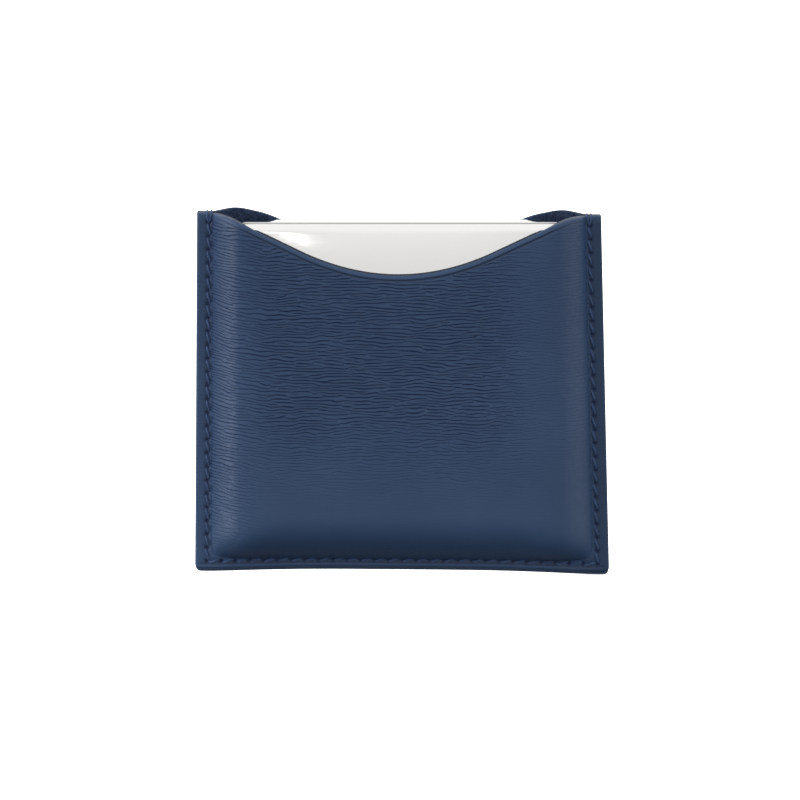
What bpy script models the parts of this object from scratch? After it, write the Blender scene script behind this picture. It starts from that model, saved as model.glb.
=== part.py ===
"""A stitched leather sleeve that holds a flat, hinged metal compact.

World axes, in metres: +Z runs up towards the mouth of the sleeve, -Y is the front, +X is to
the right. The origin is at the middle of the foot of the sleeve. Sizes below are millimetres,
and every mesh is made in millimetres and scaled once, when it is linked.
"""

import math

import bmesh
import bpy
from mathutils import Matrix

MM = 0.001

# Sleeve outline
FOOT_WIDTH = 84.2
MOUTH_WIDTH = 81.6
CORNER_HEIGHT = 73.9
FOOT_RISE = 0.7
FRONT_SCOOP = 11.85
BACK_SCOOP = 8.5
FRONT_SHIFT = -0.6
BACK_SHIFT = -0.1
SCOOP_RADIUS = 41.0
SCOOP_SLOPE = 0.48
SCOOP_BLEND = 1.2
FRONT_HUMP = 0.4
BACK_HUMP = 0.65
HUMP_CENTRE = 33.0
HUMP_SPREAD = 3.2

# Sleeve layers, from the outside in
LEATHER = 1.2
LINING = 0.4
GLUE_GAP = 0.05
LINING_GAP = 0.1
LINING_INSET = 0.3
FLANGE = 3.9
FLANGE_Y = 2.1
FOOT_STEP = 0.8

# Seam
STITCH_MARGIN = 2.4
THREAD_RADIUS = 0.25
THREAD_GAP = 0.05
THREAD_POINTS = 9

# Compact case
CASE_WIDTH = 67.0
CASE_HEIGHT = 61.0
CASE_DEPTH = 9.0
CASE_FLOOR = 11.45
CASE_GAP = 0.15
CASE_CORNER = 2.5
LID_EDGE = 2.2
BASE_EDGE = 1.6
FRAME_EDGE = 1.7
SHEET = 0.6
LID_DEPTH = 3.0
PARTING_GAP = 0.1
TURN_IN = 2.0
TURN_SOFTNESS = 0.12

# Inside the case
INSERT_GAP = 0.2
INSERT_LIP = 0.1
WELL_WIDTH = 50.0
WELL_HEIGHT = 40.0
WELL_DEPTH = 3.4
WELL_DROP = 2.0
PAN_WALL = 0.4
PAN_FLOOR = 0.4
CAKE_GAP = 0.05
MIRROR_WIDTH = 59.0
MIRROR_HEIGHT = 44.0
MIRROR_THICKNESS = 1.1
MIRROR_DROP = 1.0
FIT = 0.1
CATCH_MAGNET_RADIUS = 3.0
BASE_MAGNET_LENGTH = 2.0
LID_MAGNET_LENGTH = 1.6
CATCH_INSET = 5.2
PAN_MAGNET_RADIUS = 6.0
PAN_MAGNET_LENGTH = 1.0

# Hinge
HINGE_CENTRE = 20.0
HINGE_LENGTH = 16.0
BARREL_RADIUS = 1.2
BARREL_CLEARANCE = 0.25
END_BARREL = 4.0
MIDDLE_BARREL = 6.8
BARREL_GAP = 0.3
PIN_RADIUS = 0.6
PIN_CLEARANCE = 0.05
PIN_LENGTH = 14.8
WEB = 0.95
WEB_REACH = 1.6

# Making the meshes
SHARP_ANGLE = 35
SAME_PLACE = 0.01
OVERSHOOT = 1.0

# Worked out
CASE_CENTRE_Z = CASE_FLOOR + CASE_HEIGHT / 2
CASE_BACK = CASE_DEPTH / 2
CASE_FRONT = -CASE_DEPTH / 2
LID_PARTING = CASE_FRONT + LID_DEPTH
BASE_PARTING = LID_PARTING + PARTING_GAP
HINGE_Y = (LID_PARTING + BASE_PARTING) / 2
HINGE_Z = CASE_FLOOR
POCKET_HALF = CASE_WIDTH / 2 - TURN_IN
POCKET_FLOOR = CASE_FLOOR + TURN_IN
FLANGE_HALF = LEATHER + GLUE_GAP + LINING + LINING_GAP / 2

COLOURS = {
    "leather": ((0.021, 0.045, 0.100), 0.45, 0.0),
    "suede": ((0.020, 0.030, 0.062), 0.95, 0.0),
    "thread": ((0.055, 0.100, 0.240), 0.60, 0.0),
    "polished_metal": ((0.86, 0.85, 0.83), 0.16, 1.0),
    "liner": ((0.05, 0.05, 0.055), 0.40, 0.0),
    "mirror": ((0.92, 0.93, 0.94), 0.02, 1.0),
    "pan": ((0.78, 0.78, 0.80), 0.35, 1.0),
    "powder": ((0.74, 0.45, 0.38), 0.90, 0.0),
    "magnet": ((0.55, 0.55, 0.57), 0.30, 1.0),
    "pin": ((0.62, 0.62, 0.64), 0.25, 1.0),
}


# ---------------------------------------------------------------- scene helpers

def clear_scene():
    for item in list(bpy.data.objects):
        bpy.data.objects.remove(item, do_unlink=True)


def new_collection(name):
    collection = bpy.data.collections.new(name)
    bpy.context.scene.collection.children.link(collection)
    return collection


def material(name):
    """The Principled material called name, made on first use from COLOURS."""
    found = bpy.data.materials.get(name)
    if found:
        return found
    colour, roughness, metallic = COLOURS[name]
    made = bpy.data.materials.new(name)
    made.use_nodes = True
    shader = made.node_tree.nodes["Principled BSDF"]
    shader.inputs["Base Color"].default_value = (*colour, 1.0)
    shader.inputs["Roughness"].default_value = roughness
    shader.inputs["Metallic"].default_value = metallic
    made.diffuse_color = (*colour, 1.0)
    return made


def add_object(name, bm, material_name, collection):
    """Turn a mesh measured in millimetres into a linked object in metres."""
    bmesh.ops.recalc_face_normals(bm, faces=bm.faces)
    bmesh.ops.scale(bm, vec=(MM, MM, MM), verts=bm.verts)
    mesh = bpy.data.meshes.new(name)
    bm.to_mesh(mesh)
    bm.free()
    mesh.shade_smooth()
    mesh.set_sharp_from_angle(angle=math.radians(SHARP_ANGLE))
    mesh.materials.append(material(material_name))
    made = bpy.data.objects.new(name, mesh)
    collection.objects.link(made)
    return made


def boolean(target, cutter, operation):
    modifier = target.modifiers.new(cutter.name, "BOOLEAN")
    modifier.operation = operation
    modifier.object = cutter
    modifier.solver = "EXACT"


def tool(name, bm, collection):
    """A solid that only shapes other solids, and is not a piece itself."""
    made = add_object(name, bm, "liner", collection)
    made.hide_render = True
    made.display_type = "WIRE"
    return made


# ---------------------------------------------------------------- basic solids

def box_mesh(low, high):
    bm = bmesh.new()
    bmesh.ops.create_cube(bm, size=1.0)
    size = [b - a for a, b in zip(low, high)]
    middle = [(a + b) / 2 for a, b in zip(low, high)]
    bmesh.ops.scale(bm, vec=size, verts=bm.verts)
    bmesh.ops.translate(bm, vec=middle, verts=bm.verts)
    return bm


def slab_mesh(width, height, y_low, y_high, z_centre, corner):
    """A plate that stands in the XZ plane, with its four corners rounded."""
    low = (-width / 2, y_low, z_centre - height / 2)
    high = (width / 2, y_high, z_centre + height / 2)
    bm = box_mesh(low, high)
    posts = [e for e in bm.edges if abs(e.verts[0].co.y - e.verts[1].co.y) > (y_high - y_low) / 2]
    bmesh.ops.bevel(bm, geom=posts, offset=corner, segments=5, profile=0.5, affect="EDGES")
    return bm


def round_rim(bm, y, radius):
    """Round the rim of a plate where it meets its face at height y."""
    rim = [e for e in bm.edges if all(abs(v.co.y - y) < SAME_PLACE for v in e.verts)]
    bmesh.ops.bevel(bm, geom=rim, offset=radius, segments=5, profile=0.5, affect="EDGES")
    return bm


def disc_mesh(radius, y_low, y_high, x, z):
    """A disc whose axis runs along Y."""
    bm = bmesh.new()
    bmesh.ops.create_cone(
        bm, cap_ends=True, segments=24, radius1=radius, radius2=radius, depth=y_high - y_low)
    turn = Matrix.Rotation(math.radians(90), 4, "X")
    bmesh.ops.transform(bm, matrix=turn, verts=bm.verts)
    bmesh.ops.translate(bm, vec=(x, (y_low + y_high) / 2, z), verts=bm.verts)
    return bm


def rod_mesh(radius, x_low, x_high, segments=16):
    """A rod whose axis is the hinge line, which runs along X."""
    bm = bmesh.new()
    bmesh.ops.create_cone(
        bm, cap_ends=True, segments=segments, radius1=radius, radius2=radius,
        depth=x_high - x_low)
    turn = Matrix.Rotation(math.radians(90), 4, "Y")
    bmesh.ops.transform(bm, matrix=turn, verts=bm.verts)
    bmesh.ops.translate(bm, vec=((x_low + x_high) / 2, HINGE_Y, HINGE_Z), verts=bm.verts)
    return bm


# ---------------------------------------------------------------- sleeve form

def smooth(t):
    t = min(max(t, 0.0), 1.0)
    return t * t * (3 - 2 * t)


def rise(t):
    """Leather leaving a flat seam: it turns up tightly, then eases on to the case at t = 1."""
    t = min(max(t, 0.0), 1.0)
    eased = math.hypot(t, TURN_SOFTNESS) - TURN_SOFTNESS
    eased /= math.hypot(1.0, TURN_SOFTNESS) - TURN_SOFTNESS
    return 1 - (1 - eased) ** 2


def half_width(z):
    return (FOOT_WIDTH + (MOUTH_WIDTH - FOOT_WIDTH) * z / CORNER_HEIGHT) / 2


def foot_line(x):
    """Height of the bottom edge, drawn up in the middle by the fullness above it."""
    return FOOT_RISE * smooth(1.0 - (2 * x / FOOT_WIDTH) ** 2)


def mouth_line(x, scoop, hump, shift):
    """Height of the mouth edge: an arc with straight shoulders, scooped out of the middle."""
    side = abs(x - shift)
    bend = min(side, SCOOP_SLOPE * SCOOP_RADIUS)
    room = scoop - bend ** 2 / (2 * SCOOP_RADIUS) - SCOOP_SLOPE * (side - bend)
    cut = (room + math.hypot(room, SCOOP_BLEND)) / 2
    swell = hump * math.exp(-((abs(x) - HUMP_CENTRE) / HUMP_SPREAD) ** 2)
    return CORNER_HEIGHT - cut + swell


def fullness(x, z):
    """0 where the two panels are sewn flat together, 1 where they lie on the case."""
    seam = half_width(z) - FLANGE
    across = rise((seam - abs(x)) / (seam - POCKET_HALF))
    up = rise((z - FLANGE) / (POCKET_FLOOR - FLANGE))
    return across * up


def stations(stops, counts):
    """Evenly divide each stretch between stops into its count of steps."""
    places = [stops[0]]
    for start, end, count in zip(stops, stops[1:], counts):
        places += [start + (end - start) * (step + 1) / count for step in range(count)]
    return places


def sheet_height(share, foot, mouth):
    """Height of a row of the sheet: evenly spread above and below the floor of the pocket."""
    turn = POCKET_FLOOR / CORNER_HEIGHT
    if share <= turn:
        return foot + (POCKET_FLOOR - foot) * share / turn
    return POCKET_FLOOR + (mouth - POCKET_FLOOR) * (share - turn) / (1 - turn)


def layer(name, seam_y, full_y, cut, foot_step, thickness, growth, inset, material_name,
          collection):
    """One ply of the sleeve: an open sheet from seam to mouth, thickened by Solidify.

    The sheet is the face that is glued to the next ply, and growth is -1 for a ply that
    thickens from there towards the front, and 1 towards the back. cut is the depth of the
    scoop, the height of the swell beside it and how far the scoop is off centre.
    """
    seam_share = 1 - 2 * FLANGE / FOOT_WIDTH
    full_share = 2 * POCKET_HALF / FOOT_WIDTH
    across = stations([-1, -seam_share, -full_share, full_share, seam_share, 1], [2, 8, 16, 8, 2])
    up = stations([0, FLANGE / CORNER_HEIGHT, POCKET_FLOOR / CORNER_HEIGHT, 1], [2, 8, 10])
    bm = bmesh.new()
    bmesh.ops.create_grid(bm, x_segments=len(across) - 1, y_segments=len(up) - 1, size=1.0)
    for vertex in bm.verts:
        column = round((vertex.co.x + 1) / 2 * (len(across) - 1))
        row = round((vertex.co.y + 1) / 2 * (len(up) - 1))
        edge = half_width(up[row] * CORNER_HEIGHT)
        x = across[column] * edge
        foot = foot_line(x)
        mouth = mouth_line(x, *cut)
        z = sheet_height(up[row], foot, mouth)
        y = seam_y + (full_y - seam_y) * fullness(x, z)
        x = min(max(x, inset - edge), edge - inset)
        z = min(max(z, foot + foot_step + inset), mouth - inset)
        vertex.co = (x, y, z)
    made = add_object(name, bm, material_name, collection)
    facing = sum(polygon.normal.y for polygon in made.data.polygons)
    if facing * growth < 0:
        made.data.flip_normals()
    solidify = made.modifiers.new("thickness", "SOLIDIFY")
    solidify.thickness = thickness * MM
    solidify.offset = 1.0
    solidify.use_even_offset = True
    return made


def seam_thread(name, y, collection):
    """The line of stitching on one face: down one side, along the foot, up the other side."""
    top = CORNER_HEIGHT - THREAD_RADIUS
    edge = half_width(STITCH_MARGIN) - STITCH_MARGIN
    route = [(-half_width(top) + STITCH_MARGIN, top)]
    for step in range(THREAD_POINTS):
        x = edge * (2 * step / (THREAD_POINTS - 1) - 1)
        route.append((x, foot_line(x) + STITCH_MARGIN))
    route.append((half_width(top) - STITCH_MARGIN, top))
    curve = bpy.data.curves.new(name, "CURVE")
    curve.dimensions = "3D"
    curve.bevel_depth = THREAD_RADIUS * MM
    curve.bevel_resolution = 2
    curve.use_fill_caps = True
    spline = curve.splines.new("POLY")
    spline.points.add(len(route) - 1)
    for point, (x, z) in zip(spline.points, route):
        point.co = (x * MM, y * MM, z * MM, 1.0)
    curve.materials.append(material("thread"))
    made = bpy.data.objects.new(name, curve)
    collection.objects.link(made)


def build_sleeve(parts):
    front_seam = FLANGE_Y - LINING_GAP / 2 - LINING
    back_seam = FLANGE_Y + LINING_GAP / 2 + LINING
    front_full = CASE_FRONT - CASE_GAP - LINING
    back_full = CASE_BACK + CASE_GAP + LINING
    front_cut = (FRONT_SCOOP, FRONT_HUMP, FRONT_SHIFT)
    back_cut = (BACK_SCOOP, BACK_HUMP, BACK_SHIFT)
    layer("front_lining", front_seam, front_full, front_cut, FOOT_STEP, LINING, 1,
          LINING_INSET, "suede", parts)
    layer("back_lining", back_seam, back_full, back_cut, FOOT_STEP, LINING, -1,
          LINING_INSET, "suede", parts)
    layer("front_panel", front_seam - GLUE_GAP, front_full - GLUE_GAP, front_cut, FOOT_STEP,
          LEATHER, -1, 0.0, "leather", parts)
    layer("back_panel", back_seam + GLUE_GAP, back_full + GLUE_GAP, back_cut, 0.0,
          LEATHER, 1, 0.0, "leather", parts)
    clear = FLANGE_HALF + THREAD_GAP + THREAD_RADIUS
    seam_thread("front_seam_thread", FLANGE_Y - clear, parts)
    seam_thread("back_seam_thread", FLANGE_Y + clear, parts)


# ---------------------------------------------------------------- compact case

def shell(name, y_outer, y_parting, edge, collection):
    """A pressed metal dish: a rounded plate without its inner face, thickened inwards."""
    low = min(y_outer, y_parting)
    high = max(y_outer, y_parting)
    bm = slab_mesh(CASE_WIDTH, CASE_HEIGHT, low, high, CASE_CENTRE_Z, CASE_CORNER)
    round_rim(bm, y_outer, edge)
    inner = [f for f in bm.faces if all(abs(v.co.y - y_parting) < SAME_PLACE for v in f.verts)]
    bmesh.ops.delete(bm, geom=inner, context="FACES_ONLY")
    made = add_object(name, bm, "polished_metal", collection)
    middle = CASE_CENTRE_Z * MM
    outside = sum(p.normal.z * (p.center.z - middle) for p in made.data.polygons)
    if outside < 0:
        made.data.flip_normals()
    solidify = made.modifiers.new("sheet", "SOLIDIFY")
    solidify.thickness = SHEET * MM
    solidify.offset = -1.0
    solidify.use_even_offset = True
    return made


def hinge_spans(side):
    """Start and end of the three barrels of the hinge on one side of the case."""
    middle = side * HINGE_CENTRE
    inner = MIDDLE_BARREL / 2
    outer = inner + BARREL_GAP + END_BARREL
    return {
        "low": (middle - outer, middle - inner - BARREL_GAP),
        "middle": (middle - inner, middle + inner),
        "high": (middle + inner + BARREL_GAP, middle + outer),
    }


def add_barrel(target, label, span, web_low, web_high, tools):
    """Join one hinge barrel and its web to target."""
    barrel = tool(f"barrel_{label}", rod_mesh(BARREL_RADIUS, *span), tools)
    low = (span[0], web_low, HINGE_Z - PIN_RADIUS)
    high = (span[1], web_high, HINGE_Z + WEB_REACH)
    web = tool(f"web_{label}", box_mesh(low, high), tools)
    boolean(target, barrel, "UNION")
    boolean(target, web, "UNION")


def cut_hinge(target, side, tools):
    """Clear the barrels' path through target on one side."""
    reach = HINGE_LENGTH / 2
    middle = side * HINGE_CENTRE
    room = rod_mesh(BARREL_RADIUS + BARREL_CLEARANCE, middle - reach, middle + reach, 24)
    boolean(target, tool(f"hinge_room_{target.name}_{side}", room, tools), "DIFFERENCE")


def cut_pin(target, side, tools):
    reach = HINGE_LENGTH / 2
    middle = side * HINGE_CENTRE
    bore = rod_mesh(PIN_RADIUS + PIN_CLEARANCE, middle - reach, middle + reach, 24)
    boolean(target, tool(f"pin_bore_{target.name}_{side}", bore, tools), "DIFFERENCE")


def build_shells(parts, tools):
    base = shell("base_shell", CASE_BACK, BASE_PARTING, BASE_EDGE, parts)
    lid = shell("lid_shell", CASE_FRONT, LID_PARTING, LID_EDGE, parts)
    for target in (base, lid):
        for side in (-1, 1):
            cut_hinge(target, side, tools)


def build_tray(parts, tools):
    """The liner of the base: it holds the pan, the magnets and the outer hinge barrels."""
    width = CASE_WIDTH - 2 * (SHEET + INSERT_GAP)
    height = CASE_HEIGHT - 2 * (SHEET + INSERT_GAP)
    front = BASE_PARTING + INSERT_LIP
    back = CASE_BACK - SHEET - INSERT_GAP
    plate = slab_mesh(width, height, front, back, CASE_CENTRE_Z, CASE_CORNER - SHEET)
    tray = add_object("tray_insert", round_rim(plate, back, BASE_EDGE), "liner", parts)
    well_z = CASE_CENTRE_Z - WELL_DROP
    floor = front + WELL_DEPTH
    well = slab_mesh(WELL_WIDTH, WELL_HEIGHT, front - OVERSHOOT, floor, well_z, CASE_CORNER)
    boolean(tray, tool("well", well, tools), "DIFFERENCE")
    pocket = disc_mesh(
        PAN_MAGNET_RADIUS + FIT, floor - OVERSHOOT, floor + PAN_MAGNET_LENGTH + FIT, 0, well_z)
    boolean(tray, tool("pan_magnet_pocket", pocket, tools), "DIFFERENCE")
    catch_z = CASE_FLOOR + CASE_HEIGHT - CATCH_INSET
    seat = front + BASE_MAGNET_LENGTH + 2 * FIT
    pocket = disc_mesh(CATCH_MAGNET_RADIUS + FIT, front - OVERSHOOT, seat, 0, catch_z)
    boolean(tray, tool("base_magnet_pocket", pocket, tools), "DIFFERENCE")
    for side in (-1, 1):
        cut_hinge(tray, side, tools)
        for place in ("low", "high"):
            add_barrel(tray, f"{place}_{side}", hinge_spans(side)[place], front, front + WEB, tools)
        cut_pin(tray, side, tools)
    add_object("base_magnet", disc_mesh(
        CATCH_MAGNET_RADIUS, front + FIT, front + FIT + BASE_MAGNET_LENGTH, 0, catch_z),
        "magnet", parts)
    add_object("pan_magnet", disc_mesh(
        PAN_MAGNET_RADIUS, floor + FIT / 2, floor + FIT / 2 + PAN_MAGNET_LENGTH, 0, well_z),
        "magnet", parts)
    build_refill(front, floor, well_z, parts, tools)


def build_refill(front, floor, well_z, parts, tools):
    """The refill: a shallow metal pan that drops into the well, and its pressed powder."""
    width = WELL_WIDTH - 4 * FIT
    height = WELL_HEIGHT - 4 * FIT
    corner = CASE_CORNER - 2 * FIT
    rim = front + FIT
    back = floor - FIT
    pan = add_object("refill_pan", slab_mesh(
        width, height, rim, back, well_z, corner), "pan", parts)
    inner = slab_mesh(width - 2 * PAN_WALL, height - 2 * PAN_WALL, rim - OVERSHOOT,
                      back - PAN_FLOOR, well_z, corner - PAN_WALL)
    boolean(pan, tool("pan_hollow", inner, tools), "DIFFERENCE")
    shrink = 2 * (PAN_WALL + CAKE_GAP)
    add_object("powder_cake", slab_mesh(
        width - shrink, height - shrink, rim + PAN_FLOOR, back - PAN_FLOOR - CAKE_GAP,
        well_z, corner - PAN_WALL - CAKE_GAP), "powder", parts)


def build_mirror(parts, tools):
    """The liner of the lid: it frames the mirror and carries the middle hinge barrels."""
    width = CASE_WIDTH - 2 * (SHEET + INSERT_GAP)
    height = CASE_HEIGHT - 2 * (SHEET + INSERT_GAP)
    front = CASE_FRONT + SHEET + INSERT_GAP
    back = LID_PARTING - INSERT_LIP
    plate = slab_mesh(width, height, front, back, CASE_CENTRE_Z, CASE_CORNER - SHEET)
    frame = add_object("mirror_frame", round_rim(plate, front, FRAME_EDGE), "liner", parts)
    mirror_z = CASE_CENTRE_Z - MIRROR_DROP
    seat = back - MIRROR_THICKNESS - 2 * FIT
    recess = slab_mesh(MIRROR_WIDTH + 2 * FIT, MIRROR_HEIGHT + 2 * FIT, seat, back + OVERSHOOT,
                       mirror_z, CASE_CORNER)
    boolean(frame, tool("mirror_recess", recess, tools), "DIFFERENCE")
    catch_z = CASE_FLOOR + CASE_HEIGHT - CATCH_INSET
    seat_low = back - LID_MAGNET_LENGTH - 2 * FIT
    pocket = disc_mesh(CATCH_MAGNET_RADIUS + FIT, seat_low, back + OVERSHOOT, 0, catch_z)
    boolean(frame, tool("lid_magnet_pocket", pocket, tools), "DIFFERENCE")
    for side in (-1, 1):
        cut_hinge(frame, side, tools)
        add_barrel(frame, f"middle_{side}", hinge_spans(side)["middle"], back - WEB, back, tools)
        cut_pin(frame, side, tools)
    add_object("mirror", slab_mesh(
        MIRROR_WIDTH, MIRROR_HEIGHT, seat + FIT, seat + FIT + MIRROR_THICKNESS, mirror_z,
        CASE_CORNER - FIT), "mirror", parts)
    add_object("lid_magnet", disc_mesh(
        CATCH_MAGNET_RADIUS, back - FIT - LID_MAGNET_LENGTH, back - FIT, 0, catch_z),
        "magnet", parts)


def build_pins(parts):
    for label, side in (("left", -1), ("right", 1)):
        low = side * HINGE_CENTRE - PIN_LENGTH / 2
        pin = rod_mesh(PIN_RADIUS, low, low + PIN_LENGTH)
        add_object(f"hinge_pin_{label}", pin, "pin", parts)


def main():
    clear_scene()
    parts = new_collection("sleeve_and_compact")
    tools = new_collection("cutters")
    build_sleeve(parts)
    build_shells(parts, tools)
    build_tray(parts, tools)
    build_mirror(parts, tools)
    build_pins(parts)


main()
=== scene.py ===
"""Looks of a stitched leather sleeve and the hinged metal compact that slides out of it.

Lengths in this file are millimetres in the model's own axes (+Z up the sleeve, -Y the front)
until a mesh is made, and MM turns them into metres.
"""

import math

import bmesh
import bpy
import numpy as np
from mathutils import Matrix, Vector


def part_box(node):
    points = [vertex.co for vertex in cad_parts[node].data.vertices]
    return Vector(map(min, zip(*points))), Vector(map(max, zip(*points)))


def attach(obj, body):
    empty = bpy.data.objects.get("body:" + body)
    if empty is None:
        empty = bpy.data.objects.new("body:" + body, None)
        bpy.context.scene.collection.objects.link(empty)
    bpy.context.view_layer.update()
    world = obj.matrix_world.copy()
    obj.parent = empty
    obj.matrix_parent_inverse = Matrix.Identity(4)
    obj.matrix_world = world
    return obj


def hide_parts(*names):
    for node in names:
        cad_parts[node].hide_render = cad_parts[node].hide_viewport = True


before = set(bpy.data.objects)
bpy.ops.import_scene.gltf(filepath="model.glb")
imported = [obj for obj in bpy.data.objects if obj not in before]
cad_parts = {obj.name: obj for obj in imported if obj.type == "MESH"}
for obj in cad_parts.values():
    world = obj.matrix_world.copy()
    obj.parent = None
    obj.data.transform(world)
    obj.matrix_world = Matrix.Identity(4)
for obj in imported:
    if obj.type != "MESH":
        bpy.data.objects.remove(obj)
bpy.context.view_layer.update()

MM = 0.001


def size_mm(node):
    low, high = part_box(node)
    return [value / MM for value in low], [value / MM for value in high]


# Sleeve outline
BACK_LOW = size_mm("back_panel")[0]
FOOT_WIDTH = 84.2
MOUTH_TAPER = 2.6
CORNER_HEIGHT = 73.9
FOOT_RISE = 0.7
FRONT_SCOOP = 11.85
BACK_SCOOP = 8.5
FRONT_SHIFT = -0.6
BACK_SHIFT = -0.1
SCOOP_RADIUS = 41.0
SCOOP_SLOPE = 0.48
SCOOP_BLEND = 1.2
FRONT_HUMP = 0.4
BACK_HUMP = 0.65
HUMP_CENTRE = 33.0
HUMP_SPREAD = 3.2
CORNER_RADIUS = 1.0
SKEW = 0.0085

# Sleeve layers
LEATHER = 1.2
LINING = 0.4
GLUE_GAP = 0.05
LINING_GAP = 0.1
FLANGE = 3.9
FLANGE_Y = 2.1
FOOT_STEP = 0.8
TURN_IN = 2.0
SHOULDER_SLOPE = 0.26
SHOULDER_REACH = 0.8
FOOT_ROUNDING = 2.7
CORNER_FROM = 22.0
CORNER_FULLNESS = 1.8
MOUTH_HOLD = 5.0
FLANGE_CURL = 0.4
EDGE_ROUND = 0.42
CREASE_INSET = 1.05
CREASE_WIDTH = 0.17
CREASE_DEPTH = 0.17
CREASE_END = 37.0
CREASE_FADE = 8.0
CREASE_SWELL = 0.4
FOOT_CREASE = 0.8
SEWN_FADE = 1.6
SUEDE_ROUNDING = 0.4
HEM = 1.5
HEM_FADE = 0.4

# Seam
STITCH_MARGIN = 2.4
SIDE_STITCHES = 25
FOOT_STITCHES = 28
TOP_HOLE_DROP = 2.1
THREAD_RADIUS = 0.29
THREAD_SLANT = -0.30
BACK_SLANT = 0.12
VALLEY_WIDTH = 0.55
VALLEY_DEPTH = 0.14
FAR = 9.0
PINCH_WIDTH = 0.42
PINCH_DEPTH = 0.34
HOLE_WIDTH = 0.48
THREAD_SIDES = 10
THREAD_STEPS = 18
PLY_DEPTH = 0.13
PLY_TWIST = 1.15
SUNK_ENDS = 0.5
OFF_AXIS = (0.31, 0.27, 0.91)  # no stitch runs this way
THREAD_PROUD = 0.55 * THREAD_RADIUS
STITCH_INSET = 0.09
WRAP_RADIUS = 0.95 * THREAD_RADIUS
WRAP_SHIFT = 0.42
WRAP_LEAN = 0.3
WRAP_TOP = CORNER_HEIGHT - 0.05
WRAP_STEPS = 60
WRAP_SMOOTHING = 3

# Rows and columns of the leather's mesh
MOUTH_BAND = 2.2
SIDE_BAND = 9.5
SIDE_COUNTS = (16, 24)
MIDDLE_COLUMNS = 116
FOOT_COUNTS = (16, 26)
MIDDLE_ROWS = 112
MOUTH_ROWS = 20
SLOPE_SAMPLES = 2001

# Case
CASE_LOW, CASE_HIGH = size_mm("base_shell")
LID_LOW, LID_HIGH = size_mm("lid_shell")
CASE_WIDTH = CASE_HIGH[0] - CASE_LOW[0]
CASE_FLOOR = CASE_LOW[2]
CASE_TOP = CASE_HIGH[2]
CASE_CORNER = 2.5
LID_EDGE = 1.1
BASE_EDGE = 0.8
SHEET = 0.6
POCKET_HALF = CASE_WIDTH / 2 - TURN_IN
POCKET_FLOOR = CASE_FLOOR + TURN_IN
CASE_GAP = 0.15
FACE_CROWN = 0.75
CROWN_REACH = 8.0
LID_TRIM = 0.28
RIM_LIP = 0.08
RIM_DEPTH = 0.9
TIGHTEST_CORNER = 0.35
RING_CORNER = 12
RING_SIDE = 10
EDGE_RINGS = 12
FACE_RINGS = (1, 2.5, 4.5, 7, 10, 14, 19, 24)
FACE_CENTRE = 0.6
SHARP_ANGLE = 40

# Grain of the leather
GRAIN_PITCH = 0.66
GRAIN_LENGTH = 2.7
GRAIN_WAVES = 2.0
GRAIN_DRIFT = 1.3
GRAIN_EVENNESS = 0.30
FAN_FROM = -27.0
FAN_SLOPE = -0.13
CREASE_EDGES = (0.25, 0.42)
CREASE_RELIEF = 0.27
CREASE_STRENGTH = 0.95
CREASE_SHADE = 0.95
PORE_RELIEF = 0.02
HIDE_SPECULAR = 0.25

# Where the grain shows: stretches of height (z) and of width (x) over which it comes or goes
GRAIN_RISE = (14, 38)
FAR_LEFT_RISE = (2, 20)
FAR_LEFT = (-36, -27)
LEFT_FADE = (-31, -25)
LEFT_SHARE = 0.72
RIGHT_FADE = (14, 31)
SEAM_SMOOTHING = 0.85
LEAST_COVER = 0.05

# Where painted shade and a painted highlight go on the hide, and how much of each second colour is
# mixed in
MOUTH_SHADE_RISE = (34, 60)
MOUTH_SHADE_SHARE = 0.20
LEFT_MARGIN = (-40, -34)
LEFT_MARGIN_RISE = (20, 60)
LEFT_MARGIN_SHADE = 0.16
RIGHT_MARGIN = (34, 40)
RIGHT_MARGIN_SHADE = 0.50
HEM_HIGHLIGHT = 0.22
GROOVE_SHADE = 0.85

# Camera
CAMERA_DISTANCE = 1500.0
CAMERA_ELEVATION = 8.15
FIELD_WIDTH = 162.3
SENSOR_WIDTH = 36.0
AIM_X = -0.13
AIM_Z = 35.97

# Lights: place and size in metres, power in watts
LEFT_SOFTBOX = ((-0.9, -0.16, 0.15), (0.5, 0.9), 7.3)
RIGHT_SOFTBOX = ((0.9, -0.20, 0.15), (0.5, 0.9), 0.5)
FRONT_LAMP = ((-0.0585, -1.20, 0.050), (0.012, 0.036), 0.0035)

# Studio: brightness by height, from -1 straight down to 1 straight up
WORLD_SPAN = (-0.55, 0.10)
WORLD_RANGE = (0.30, 1.32)
UNDER_SPAN = (-1.0, -0.6)
UNDER_RANGE = (0.15, 1.0)
BACKDROP = 1.1
FLOOR_DROP = 0.4
FLOOR_HALF = 3.0
FLOOR_GLOW = 0.85


# ---------------------------------------------------------------- materials

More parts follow.
